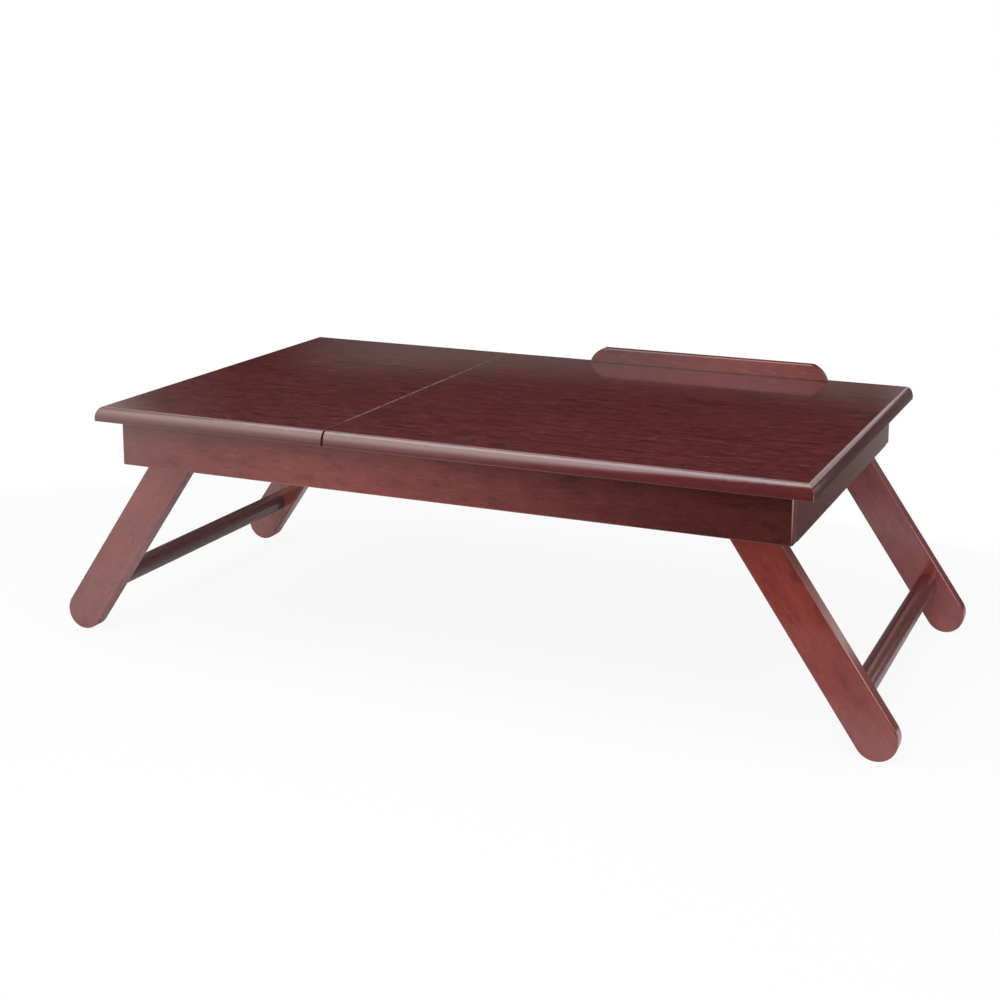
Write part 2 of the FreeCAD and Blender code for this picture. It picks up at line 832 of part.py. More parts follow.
# ---- the whole object
def all_nodes():
    user_leg = right_user_leg()
    dowel = right_cross_dowel()
    return {
        "fixed_top_panel": fixed_top_panel(),
        "flip_top_panel": flip_top_panel(),
        "book_ledge": book_ledge(),
        "ledge_screws": group(ledge_screws()),
        "user_side_apron": user_side_apron(),
        "far_side_apron": far_side_apron(),
        "right_end_apron": right_end_apron(),
        "left_end_rail": left_end_rail(),
        "left_end_post_user": left_end_post_user(),
        "left_end_post_far": left_end_post_far(),
        "corner_glue_blocks": corner_glue_blocks(),
        "divider_rail": divider_rail(),
        "divider_screws": group(divider_screws()),
        "drawer_runner_user": drawer_runner_user(),
        "drawer_runner_far": drawer_runner_far(),
        "runner_screws": group(runner_screws()),
        "drawer_stop_block": drawer_stop_block(),
        "drawer_stop_screws": group(stop_screws()),
        "drawer_front": drawer_front(),
        "drawer_side_user": drawer_side_user(),
        "drawer_side_far": drawer_side_far(),
        "drawer_back": drawer_back(),
        "drawer_bottom": drawer_bottom(),
        "drawer_knob": drawer_knob(),
        "drawer_knob_screw": knob_screw(),
        "right_user_leg": user_leg,
        "right_far_leg": mirror_y(user_leg),
        "right_cross_dowel": dowel,
        "left_user_leg": mirror_x(user_leg),
        "left_far_leg": mirror_x(mirror_y(user_leg)),
        "left_cross_dowel": mirror_x(dowel),
        "leg_pivot_screws": leg_pivot_screws(),
        "leg_spacer_washers": leg_spacer_washers(),
        "leg_head_washers": leg_head_washers(),
        "left_hinge_frame_leaf": frame_leaf(hinge_starts[0]),
        "right_hinge_frame_leaf": frame_leaf(hinge_starts[1]),
        "left_hinge_panel_leaf": panel_leaf(hinge_starts[0]),
        "right_hinge_panel_leaf": panel_leaf(hinge_starts[1]),
        "hinge_pins": hinge_pins(),
        "hinge_frame_screws": group(frame_leaf_screws()),
        "hinge_panel_screws": group(panel_leaf_screws()),
        "prop_bail": prop_bail(),
        "left_bail_saddle": saddle(saddle_starts()[0]),
        "right_bail_saddle": saddle(saddle_starts()[1]),
        "saddle_screws": group(saddle_screws()),
        "notch_plate_left": notch_plate_left(),
        "notch_plate_right": notch_plate_right(),
        "notch_plate_screws": notch_plate_screws(),
    }


def main():
    os.makedirs("parts", exist_ok=True)
    for name, shape in all_nodes().items():
        shape.exportStep("parts/" + name + ".step")
        b = shape.BoundBox
        print(f"{name}: solids {len(shape.Solids)}, volume {shape.Volume:.0f}, "
              f"x {b.XMin:.1f}..{b.XMax:.1f}, y {b.YMin:.1f}..{b.YMax:.1f}, z {b.ZMin:.1f}..{b.ZMax:.1f}")
    print(f"pivot {pivot_x:.3f} {pivot_z:.3f}, foot x {foot_x:.3f}, fold {90 + leg_splay_deg:.2f} deg")
    print(f"drawer travel {drawer_travel:.3f}")
    print(f"hinge y {hinge_y:.3f} z {hinge_z:.3f}, prop y {prop_y:.3f} z {prop_z:.3f}")


main()
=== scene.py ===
import math
import bpy
import bmesh
from mathutils import Matrix, Vector

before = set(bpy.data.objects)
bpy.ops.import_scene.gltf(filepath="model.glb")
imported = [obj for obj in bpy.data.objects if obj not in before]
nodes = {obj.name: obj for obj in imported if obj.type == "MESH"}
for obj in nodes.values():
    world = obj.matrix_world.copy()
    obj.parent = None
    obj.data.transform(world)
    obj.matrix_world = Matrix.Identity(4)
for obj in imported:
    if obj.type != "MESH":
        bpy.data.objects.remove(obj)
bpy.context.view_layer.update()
print("frame loaded:", len(nodes), "pieces")


# small helpers for node trees
def addNode(tree, kind, **settings):
    node = tree.nodes.new(kind)
    for key, value in settings.items():
        setattr(node, key, value)
    return node


def join(tree, output, target):
    tree.links.new(output, target)


def feed(tree, value, socket):
    # a value is another node's output, a number, a vector or a colour without alpha
    if hasattr(value, "links"):
        join(tree, value, socket)
    elif socket.type == "RGBA":
        socket.default_value = (*value, 1.0)
    else:
        socket.default_value = value


def mathNode(tree, operation, first, second=None, clamp=False):
    node = addNode(tree, "ShaderNodeMath", operation=operation, use_clamp=clamp)
    feed(tree, first, node.inputs[0])
    if second is not None:
        feed(tree, second, node.inputs[1])
    return node.outputs[0]


def product(tree, first, *others, clamp=False):
    for other in others:
        first = mathNode(tree, "MULTIPLY", first, other, clamp)
    return first


def total(tree, first, *others):
    for other in others:
        first = mathNode(tree, "ADD", first, other)
    return first


def vectorNode(tree, operation, first, second=None):
    node = addNode(tree, "ShaderNodeVectorMath", operation=operation)
    feed(tree, first, node.inputs[0])
    if second is not None:
        feed(tree, second, node.inputs[1])
    return node.outputs["Value" if operation == "LENGTH" else "Vector"]


def objectPlace(tree):
    return addNode(tree, "ShaderNodeTexCoord").outputs["Object"]


def axesOf(tree, vector):
    node = addNode(tree, "ShaderNodeSeparateXYZ")
    join(tree, vector, node.inputs[0])
    return node.outputs


def noise(tree, vector, scale, detail, roughness=0.5):
    node = addNode(tree, "ShaderNodeTexNoise", noise_dimensions="3D")
    node.inputs["Scale"].default_value = scale
    node.inputs["Detail"].default_value = detail
    node.inputs["Roughness"].default_value = roughness
    join(tree, vector, node.inputs["Vector"])
    return node.outputs["Fac"]


def remap(tree, value, low, high, outLow=0.0, outHigh=1.0):
    node = addNode(tree, "ShaderNodeMapRange", interpolation_type="SMOOTHSTEP")
    join(tree, value, node.inputs["Value"])
    node.inputs["From Min"].default_value = low
    node.inputs["From Max"].default_value = high
    node.inputs["To Min"].default_value = outLow
    node.inputs["To Max"].default_value = outHigh
    return node.outputs["Result"]


def mixColour(tree, factor, first, second, blend="MIX"):
    node = addNode(tree, "ShaderNodeMix", data_type="RGBA", blend_type=blend)
    feed(tree, factor, node.inputs[0])
    feed(tree, first, node.inputs[6])    # the sockets called A and B for colours
    feed(tree, second, node.inputs[7])
    return node.outputs[2]


def mixShader(tree, factor, first, second):
    node = addNode(tree, "ShaderNodeMixShader")
    for output, socket in zip((factor, first, second), node.inputs):
        join(tree, output, socket)
    return node.outputs[0]


def newGroup(name, inputs, outputs):
    tree = bpy.data.node_groups.new(name, "ShaderNodeTree")
    for direction, sockets in (("INPUT", inputs), ("OUTPUT", outputs)):
        for socketName, kind, value in sockets:
            socket = tree.interface.new_socket(socketName, in_out=direction, socket_type=kind)
            if value is not None:
                socket.default_value = value
    given = addNode(tree, "NodeGroupInput").outputs
    out = addNode(tree, "NodeGroupOutput").inputs
    return tree, given, out


# the figure of the wood: repeats per metre along and across the grain, detail and
# roughness of each layer, the part of its range that shows, and its weight
grainFigure = dict(
    wave=dict(repeats=(3, 14, 14), detail=2, roughness=0.5, bendAcross=0.02, bendDown=0.013),
    broad=dict(repeats=(7, 150, 150), detail=4, roughness=0.6, shown=(0.32, 0.68), weight=0.25),
    middling=dict(repeats=(28, 240, 240), detail=1, roughness=0.5, shown=(0.38, 0.62), weight=0.30),
    fine=dict(repeats=(60, 470, 470), detail=2, roughness=0.6, shown=(0.38, 0.62), weight=0.45),
    fleck=dict(repeats=(90, 400, 400), detail=2, roughness=0.6, shown=(0.54, 0.68)),
    pore=dict(repeats=(70, 1000, 1000), detail=1, roughness=0.5, shown=(0.62, 0.74)),
    blotch=dict(repeats=(38, 80, 80), detail=4, roughness=0.6, shown=(0.50, 0.75)),
    cloud=dict(repeats=(9, 20, 20), detail=3, roughness=0.55, shown=(0.40, 0.72)),
    spotsShown=(0.52, 0.28), roughnessBase=0.34, roughnessFine=0.12, roughnessPores=0.25,
    heightFine=0.35)


def makeGrainGroup(figure):
    tree, given, out = newGroup(
        "stainedGrain",
        [("Along Grain", "NodeSocketVector", None),
         ("Deep", "NodeSocketColor", (0.03, 0.006, 0.007, 1)),
         ("Body", "NodeSocketColor", (0.08, 0.018, 0.017, 1)),
         ("Warm", "NodeSocketColor", (0.14, 0.035, 0.022, 1)),
         ("Pale", "NodeSocketColor", (0.2, 0.06, 0.05, 1)),
         ("Streaks", "NodeSocketFloat", 0.5),
         ("Cloud", "NodeSocketFloat", 0.5),
         ("Mottle", "NodeSocketFloat", 0.5),
         ("Pores", "NodeSocketFloat", 0.5),
         ("Flecks", "NodeSocketFloat", 0.3)],
        [("Color", "NodeSocketColor", None),
         ("Roughness", "NodeSocketFloat", None),
         ("Height", "NodeSocketFloat", None)])

    def layer(name, place):
        values = figure[name]
        repeated = vectorNode(tree, "MULTIPLY", place, values["repeats"])
        return noise(tree, repeated, 1.0, values["detail"], values["roughness"])

    def shown(name, value):
        return remap(tree, value, *figure[name]["shown"])

    # slow waves bend the streaks a little
    vector = given["Along Grain"]
    wave = mathNode(tree, "SUBTRACT", layer("wave", vector), 0.5)
    bend = addNode(tree, "ShaderNodeCombineXYZ")
    join(tree, product(tree, wave, figure["wave"]["bendAcross"]), bend.inputs["Y"])
    join(tree, product(tree, wave, figure["wave"]["bendDown"]), bend.inputs["Z"])
    bent = vectorNode(tree, "ADD", vector, bend.outputs[0])

    broad, middling, fine = [layer(name, bent) for name in ("broad", "middling", "fine")]
    fleck, pore = layer("fleck", bent), layer("pore", bent)
    blotch, cloud = layer("blotch", vector), layer("cloud", vector)
    streak = total(tree, product(tree, shown("broad", broad), figure["broad"]["weight"]),
                   product(tree, shown("middling", middling), figure["middling"]["weight"]),
                   product(tree, shown("fine", fine), figure["fine"]["weight"]))
    streaks = product(tree, mathNode(tree, "SUBTRACT", 1.0, streak), given["Streaks"], clamp=True)
    pores = product(tree, shown("pore", pore), given["Pores"], clamp=True)
    warmth = product(tree, shown("cloud", cloud), given["Cloud"], clamp=True)
    mottle = product(tree, shown("blotch", blotch), given["Mottle"], clamp=True)
    spots = product(tree, remap(tree, blotch, *figure["spotsShown"]), given["Mottle"], clamp=True)
    flecks = product(tree, shown("fleck", fleck), given["Flecks"], clamp=True)

    colour = mixColour(tree, warmth, given["Body"], given["Warm"])
    colour = mixColour(tree, mottle, colour, given["Warm"])
    colour = mixColour(tree, mathNode(tree, "MAXIMUM", streaks, spots), colour, given["Deep"])
    colour = mixColour(tree, pores, colour, given["Deep"])
    colour = mixColour(tree, flecks, colour, given["Pale"])
    join(tree, colour, out["Color"])
    rough = total(tree, product(tree, fine, figure["roughnessFine"]), figure["roughnessBase"],
                  product(tree, pores, figure["roughnessPores"]))
    join(tree, rough, out["Roughness"])
    height = mathNode(tree, "SUBTRACT", product(tree, fine, figure["heightFine"]), pores)
    join(tree, height, out["Height"])
    return tree


# dull patches and fine lines on plated steel
metalFigure = dict(lineDetail=2.0, patchRepeats=180.0, patchDetail=3.0, patchRoughness=0.6,
                   patchShown=(0.35, 0.7), roughnessPatch=0.18)


def makeBrushGroup(figure):
    tree, given, out = newGroup(
        "brushedMetal",
        [("Vector", "NodeSocketVector", None),
         ("Clean", "NodeSocketColor", (0.6, 0.6, 0.6, 1)),
         ("Dull", "NodeSocketColor", (0.4, 0.4, 0.4, 1)),
         ("Lines", "NodeSocketVector", (300.0, 3000.0, 3000.0)),
         ("Roughness", "NodeSocketFloat", 0.3)],
        [("Color", "NodeSocketColor", None),
         ("Roughness", "NodeSocketFloat", None),
         ("Height", "NodeSocketFloat", None)])
    lines = vectorNode(tree, "MULTIPLY", given["Vector"], given["Lines"])
    patch = noise(tree, given["Vector"], figure["patchRepeats"], figure["patchDetail"],
                  figure["patchRoughness"])
    dullness = remap(tree, patch, *figure["patchShown"])
    join(tree, mixColour(tree, dullness, given["Clean"], given["Dull"]), out["Color"])
    rough = total(tree, given["Roughness"], product(tree, patch, figure["roughnessPatch"]))
    join(tree, rough, out["Roughness"])
    join(tree, noise(tree, lines, 1.0, figure["lineDetail"]), out["Height"])
    return tree


grainGroup = makeGrainGroup(grainFigure)
brushGroup = makeBrushGroup(metalFigure)
print("shared node groups made")


def principled(name):
    material = bpy.data.materials.new(name)
    material.use_nodes = True
    tree = material.node_tree
    return material, tree, tree.nodes["Principled BSDF"]


def placed(tree, turn=(0, 0, 0), shift=(0, 0, 0)):
    mapping = addNode(tree, "ShaderNodeMapping", vector_type="POINT")
    mapping.inputs["Rotation"].default_value = [math.radians(a) for a in turn]
    mapping.inputs["Location"].default_value = shift
    join(tree, objectPlace(tree), mapping.inputs["Vector"])
    return mapping.outputs["Vector"]


def bump(tree, shader, height, distance, strength=1.0):
    node = addNode(tree, "ShaderNodeBump")
    node.inputs["Strength"].default_value = strength
    node.inputs["Distance"].default_value = distance
    join(tree, height, node.inputs["Height"])
    join(tree, node.outputs["Normal"], shader.inputs["Normal"])


lacquer = dict(coat=1.0, coatRoughness=0.12, coatIor=1.9, specular=0.03, relief=0.00012)
woodFinishes = dict(
    top=dict(
        lacquer, coatRoughness=0.10,
        deep=(0.038, 0.0052, 0.0064), body=(0.168, 0.0290, 0.0295),
        warm=(0.200, 0.0390, 0.0350), pale=(0.260, 0.0850, 0.0820),
        streaks=0.86, cloud=0.55, mottle=0.15, pores=0.6, flecks=0.42),
    apron=dict(
        lacquer,
        deep=(0.085, 0.0120, 0.0110), body=(0.200, 0.0360, 0.0320),
        warm=(0.285, 0.0580, 0.0380), pale=(0.340, 0.0900, 0.0600),
        streaks=0.22, cloud=0.6, mottle=0.6, pores=0.5, flecks=0.25),
    end=dict(
        lacquer, relief=0.00002,
        deep=(0.080, 0.0110, 0.0110), body=(0.150, 0.0250, 0.0275),
        warm=(0.190, 0.0340, 0.0330), pale=(0.220, 0.0600, 0.0450),
        streaks=0.14, cloud=0.6, mottle=0.0, pores=0.0, flecks=0.0),
    ledge=dict(
        lacquer, coat=0.6,
        deep=(0.090, 0.0140, 0.0140), body=(0.190, 0.0370, 0.0330),
        warm=(0.260, 0.0540, 0.0370), pale=(0.320, 0.0850, 0.0650),
        streaks=0.45, cloud=0.6, mottle=0.5, pores=0.35, flecks=0.3),
    leg=dict(
        lacquer,
        deep=(0.110, 0.0170, 0.0130), body=(0.235, 0.0440, 0.0330),
        warm=(0.310, 0.0650, 0.0400), pale=(0.380, 0.1000, 0.0650),
        streaks=0.22, cloud=0.7, mottle=0.6, pores=0.35, flecks=0.2),
    dowel=dict(
        lacquer, coat=0.75, coatRoughness=0.20, specular=0.1, relief=0.00008,
        deep=(0.070, 0.0160, 0.0150), body=(0.150, 0.0400, 0.0390),
        warm=(0.190, 0.0500, 0.0450), pale=(0.260, 0.0800, 0.0650),
        streaks=0.4, cloud=0.5, mottle=0.4, pores=0.4, flecks=0.2),
    inner=dict(
        lacquer, coat=0.25, coatRoughness=0.4, coatIor=1.5, specular=0.3,
        deep=(0.060, 0.016, 0.012), body=(0.125, 0.036, 0.024),
        warm=(0.165, 0.052, 0.033), pale=(0.220, 0.080, 0.055),
        streaks=0.6, cloud=0.6, mottle=0.4, pores=0.7, flecks=0.3))
plain = (1, 1, 1)


def edgeOf(name, axis, side):
    # where a piece begins (min) or ends (max) along an axis
    return side(corner["XYZ".index(axis)] for corner in nodes[name].bound_box)


def span(axis, edge, near, far):
    # a stretch along an axis, from two distances to a piece's edge
    return axis, edge + near, edge + far


def band(along, first, last, within=None):
    # a tint that changes from first to last over one span, and holds only within another
    return dict(along=along, first=first, last=last, within=within)


def woodMaterial(name, finish, turn=(0, 0, 0), shift=(0, 0, 0), tint=plain, bands=(), calm=None):
    values = woodFinishes[finish]
    material, tree, shader = principled(name)
    grain = addNode(tree, "ShaderNodeGroup", node_tree=grainGroup)
    join(tree, placed(tree, turn, shift), grain.inputs["Along Grain"])
    for socket in ("Deep", "Body", "Warm", "Pale"):
        shade = [a * b for a, b in zip(values[socket.lower()], tint)]
        grain.inputs[socket].default_value = (*shade, 1.0)
    for socket in ("Streaks", "Cloud", "Mottle", "Pores", "Flecks"):
        grain.inputs[socket].default_value = values[socket.lower()]
    colour = grain.outputs["Color"]
    if bands or calm:
        axes = axesOf(tree, objectPlace(tree))

    def passed(along, before=0.0):
        axis, start, end = along
        return remap(tree, axes[axis], start, end, before, 1.0)

    if calm:    # only a share of the figure is left before this span
        figure = passed(calm["along"], calm["left"])
        for socket in ("Streaks", "Mottle", "Pores", "Flecks"):
            join(tree, product(tree, figure, values[socket.lower()]), grain.inputs[socket])
    for part in bands:
        share = passed(part["along"])
        if part["within"]:
            share = product(tree, share, passed(part["within"]))
        shade = mixColour(tree, share, part["first"], part["last"])
        colour = mixColour(tree, 1.0, colour, shade, "MULTIPLY")
    join(tree, colour, shader.inputs["Base Color"])
    join(tree, grain.outputs["Roughness"], shader.inputs["Roughness"])
    bump(tree, shader, grain.outputs["Height"], values["relief"])
    shader.inputs["Specular IOR Level"].default_value = values["specular"]
    shader.inputs["Coat Weight"].default_value = values["coat"]
    shader.inputs["Coat Roughness"].default_value = values["coatRoughness"]
    shader.inputs["Coat IOR"].default_value = values["coatIor"]
    return material


metalFinishes = dict(
    wire=dict(clean=(0.62, 0.62, 0.63), dull=(0.45, 0.45, 0.47), roughness=0.18,
              lines=(200, 2500, 2500)),
    plate=dict(clean=(0.58, 0.58, 0.6), dull=(0.4, 0.4, 0.42), roughness=0.26,
               lines=(2500, 200, 2500)),
    brass=dict(clean=(0.62, 0.45, 0.19), dull=(0.42, 0.29, 0.12), roughness=0.24,
               lines=(2500, 300, 2500)),
    screw=dict(clean=(0.55, 0.55, 0.56), dull=(0.34, 0.34, 0.36), roughness=0.28,
               lines=(1800, 1800, 1800)))
metalRelief = dict(distance=0.00004, strength=0.6)


def metalMaterial(name, finish):
    values = metalFinishes[finish]
    material, tree, shader = principled(name)
    brushed = addNode(tree, "ShaderNodeGroup", node_tree=brushGroup)
    join(tree, placed(tree), brushed.inputs["Vector"])
    brushed.inputs["Clean"].default_value = (*values["clean"], 1.0)
    brushed.inputs["Dull"].default_value = (*values["dull"], 1.0)
    brushed.inputs["Lines"].default_value = values["lines"]
    brushed.inputs["Roughness"].default_value = values["roughness"]
    join(tree, brushed.outputs["Color"], shader.inputs["Base Color"])
    join(tree, brushed.outputs["Roughness"], shader.inputs["Roughness"])
    bump(tree, shader, brushed.outputs["Height"], **metalRelief)
    shader.inputs["Metallic"].default_value = 1.0
    return material


def dress(material, *names):
    for name in names:
        mesh = nodes[name].data
        if not mesh.materials:
            mesh.materials.append(material)
        for index in range(len(mesh.materials)):
            mesh.materials[index] = material


# grain runs along X unless a turn brings another direction there
alongY = (0, 0, -90)
alongZ = (0, 90, 0)

# both parts of the top: the moulded edge has painted shade and is calmer than the face above it
topFace = edgeOf("flip_top_panel", "Z", max)
moulding = span("Z", topFace, -0.0010, -0.0001)
seam = span("X", edgeOf("fixed_top_panel", "X", max), -0.0008, -0.0004)
seamLength = span("Y", edgeOf("fixed_top_panel", "Y", min), 0.018, 0.078)
top = dict(
    fixedShift=(0.3, 0.11, 0), flipShift=(0, 0.47, 0.2),
    calmEdge=dict(along=moulding, left=0.22),
    # painted shade darkens the moulded edge
    mouldingPaintedShade=band(moulding, (0.68, 0.66, 0.68), plain),
    # painted highlight: a pale line along the fixed part's edge at the seam
    seamPaintedHighlight=band(seam, plain, (2.6, 8.5, 8.2), seamLength),
    # painted shade: the right end of the flip part is darker
    rightEndPaintedShade=band(span("X", edgeOf("flip_top_panel", "X", max), -0.0022, -0.0004),
                   plain, (0.78, 0.68, 0.72)))
dress(woodMaterial("topFixed", "top", shift=top["fixedShift"], calm=top["calmEdge"],
                   bands=(top["seamPaintedHighlight"], top["mouldingPaintedShade"])), "fixed_top_panel")
dress(woodMaterial("topFlip", "top", shift=top["flipShift"], calm=top["calmEdge"],
                   bands=(top["rightEndPaintedShade"], top["mouldingPaintedShade"])), "flip_top_panel")

ledge = dict(
    shift=(1.3, 0.2, 0.1),
    # painted shadow: a dark line along the foot of the ledge, where it meets the top
    footPaintedShadow=band(span("Z", topFace, 0.0013, 0.0006), plain, (0.25, 0.2, 0.2)),
    # the ledge is darker and greyer at its left end and a little warmer at its right
    leftToRightTint=band(span("X", edgeOf("book_ledge", "X", min), 0.029, 0.149),
                  (0.72, 0.82, 0.86), (1.1, 1.0, 0.95)))
dress(woodMaterial("ledgeWood", "ledge", shift=ledge["shift"],
                   bands=(ledge["footPaintedShadow"], ledge["leftToRightTint"])), "book_ledge")

# painted shade on the far apron: darker to the right and under the top; its left end is also darker
# and greyer
farFace = span("Y", edgeOf("far_side_apron", "Y", min), 0.0015, 0.0005)
apronLeft, apronRight = [edgeOf("far_side_apron", "X", side) for side in (min, max)]
apronTop = edgeOf("far_side_apron", "Z", max)
apron = dict(
    farShift=(0.6, 0, 0.3), userShift=(2.1, 0, 0.9),
    endShift=(0.2, 1.4, 0), postShift=(0.7, 0.3, 0),
    # painted shade: the far apron darkens towards its right end
    rightwardPaintedShade=band(span("X", apronRight, -0.397, -0.017), plain, (0.38, 0.37, 0.38), farFace),
    # painted shade: the far apron darkens under the overhang of the top
    underTopPaintedShade=band(span("Z", apronTop, -0.0175, 0), plain, (0.72, 0.70, 0.72), farFace),
    # the far apron is darker and greyer towards its left end
    leftEndTint=band(span("X", apronLeft, -0.003, 0.117), (0.74, 0.82, 0.90), plain))
dress(woodMaterial("apronFar", "apron", shift=apron["farShift"],
                   bands=(apron["rightwardPaintedShade"], apron["underTopPaintedShade"], apron["leftEndTint"])), "far_side_apron")
dress(woodMaterial("apronUser", "apron", shift=apron["userShift"]), "user_side_apron")
dress(woodMaterial("apronEnd", "end", alongY, apron["endShift"]), "right_end_apron")
dress(woodMaterial("railWood", "apron", alongY, apron["endShift"]), "left_end_rail", "divider_rail")
dress(woodMaterial("postWood", "apron", alongZ, apron["postShift"]),
      "left_end_post_user", "left_end_post_far")

# grain follows the slant of the legs
# the legs' tints are painted light and painted reflection: lighter and greyer on the user's side,
# less grey on the right far leg
legs = dict(
    right=dict(slant=-56.0, shift=(0.4, 0.2, 0), far=(1.0, 0.88, 0.98), user=(1.25, 1.3, 1.65)),
    left=dict(slant=56.0, shift=(1.7, 0.6, 0), far=(0.92, 1.02, 1.15), user=(1.15, 1.6, 1.9)))
for end, values in legs.items():
    for side in ("far", "user"):
        dress(woodMaterial("leg" + end.title() + side.title(), "leg", (0, values["slant"], 0),
                           values["shift"], values[side]), f"{end}_{side}_leg")

# the dowels' tints are painted light and painted reflection: the left dowel lighter and greyer, the
# right one a little darker
dowels = dict(shift=(0.9, 0.1, 0.4), right=(1.0, 0.85, 0.85), left=(1.0, 1.6, 1.75))
for end in ("right", "left"):
    dress(woodMaterial("dowel" + end.title(), "dowel", alongY, dowels["shift"], dowels[end]),
          f"{end}_cross_dowel")

drawer = dict(frontShift=(3.1, 0.1, 0.2), knobShift=(0.2, 0.9, 0),
              innerShiftX=(0.5, 0.7, 0), innerShiftY=(0.1, 0.3, 0))
dress(woodMaterial("drawerFrontWood", "apron", alongY, drawer["frontShift"]), "drawer_front")
dress(woodMaterial("knobWood", "leg", shift=drawer["knobShift"]), "drawer_knob")
dress(woodMaterial("innerAlongX", "inner", shift=drawer["innerShiftX"]),
      "drawer_side_user", "drawer_side_far", "drawer_runner_user", "drawer_runner_far",
      "corner_glue_blocks")
dress(woodMaterial("innerAlongY", "inner", alongY, drawer["innerShiftY"]),
      "drawer_back", "drawer_bottom", "drawer_stop_block")

dress(metalMaterial("zincWire", "wire"), "prop_bail")
dress(metalMaterial("zincPlate", "plate"),
      "notch_plate_left", "notch_plate_right", "leg_spacer_washers", "leg_head_washers")
dress(metalMaterial("brassPlated", "brass"),
      "left_hinge_frame_leaf", "right_hinge_frame_leaf", "left_hinge_panel_leaf",
      "right_hinge_panel_leaf", "hinge_pins", "left_bail_saddle", "right_bail_saddle")
dress(metalMaterial("zincScrew", "screw"),
      "divider_screws", "runner_screws", "drawer_stop_screws", "leg_pivot_screws",
      "hinge_frame_screws", "notch_plate_screws", "ledge_screws", "hinge_panel_screws",
      "saddle_screws", "drawer_knob_screw")
print("materials on", len(nodes), "pieces")


def whiteRays(tree):
    path = addNode(tree, "ShaderNodeLightPath").outputs
    seen = mathNode(tree, "MAXIMUM", path["Is Camera Ray"], path["Is Glossy Ray"])
    return mathNode(tree, "MAXIMUM", seen, path["Is Transmission Ray"])


# the floor is painted near the table and turns white further out
floorPaint = dict(
    size=16.0, drop=0.0002, albedo=0.92,
    whiteShift=(0, 0.10, 0), whiteShape=(0.75, 1.1, 1), whiteFrom=0.33, whiteTo=0.66,
    whiteToCamera=0.91,
    stripAcross=(0.12, 0.32), stripAlong=(-0.05, 0.15), stripDark=0.75)


def makeFloor(values):
    mesh = bpy.data.meshes.new("floor")
    shape = bmesh.new()
    bmesh.ops.create_grid(shape, x_segments=1, y_segments=1, size=values["size"] / 2)
    bmesh.ops.translate(shape, verts=shape.verts, vec=(0, 0, -values["drop"]))
    shape.to_mesh(mesh)
    shape.free()
    floor = bpy.data.objects.new("floor", mesh)
    bpy.context.scene.collection.objects.link(floor)
    material = bpy.data.materials.new("paleFloor")
    material.use_nodes = True
    tree = material.node_tree
    tree.nodes.clear()
    path = addNode(tree, "ShaderNodeLightPath").outputs
    place = objectPlace(tree)
    axes = axesOf(tree, place)
    # the camera sees the floor almost white everywhere, with a faint shadow left
    shaped = vectorNode(tree, "MULTIPLY", vectorNode(tree, "ADD", place, values["whiteShift"]),
                        values["whiteShape"])
    away = remap(tree, vectorNode(tree, "LENGTH", shaped), values["whiteFrom"], values["whiteTo"])
    lifted = product(tree, path["Is Camera Ray"], values["whiteToCamera"])
    white = product(tree, mathNode(tree, "MAXIMUM", away, lifted), whiteRays(tree))
    # reflections find a darker floor on the right, in front and behind
    off = mathNode(tree, "ABSOLUTE", axes["Y"])
    strip = product(tree, remap(tree, off, *values["stripAcross"]),
                    remap(tree, axes["X"], *values["stripAlong"]),
                    product(tree, path["Is Glossy Ray"], values["stripDark"]))
    paint = addNode(tree, "ShaderNodeBsdfDiffuse")
    paint.inputs["Color"].default_value = (*[values["albedo"]] * 3, 1)
    glow = addNode(tree, "ShaderNodeEmission")
    black = addNode(tree, "ShaderNodeEmission")
    black.inputs["Strength"].default_value = 0.0
    surface = mixShader(tree, white, paint.outputs[0], glow.outputs[0])
    surface = mixShader(tree, strip, surface, black.outputs[0])
    join(tree, surface, addNode(tree, "ShaderNodeOutputMaterial").inputs["Surface"])
    mesh.materials.append(material)


room = dict(strength=0.22)


def makeWorld(values):
    world = bpy.data.worlds.new("studioWorld")
    bpy.context.scene.world = world
    world.use_nodes = True
    tree = world.node_tree
    tree.nodes.clear()
    dim = addNode(tree, "ShaderNodeBackground")
    dim.inputs["Color"].default_value = (1, 1, 1, 1)
    dim.inputs["Strength"].default_value = values["strength"]
    white = addNode(tree, "ShaderNodeBackground")
    white.inputs["Color"].default_value = (1, 1, 1, 1)
    white.inputs["Strength"].default_value = 1.0
    surface = mixShader(tree, whiteRays(tree), dim.outputs[0], white.outputs[0])
    join(tree, surface, addNode(tree, "ShaderNodeOutputWorld").inputs["Surface"])


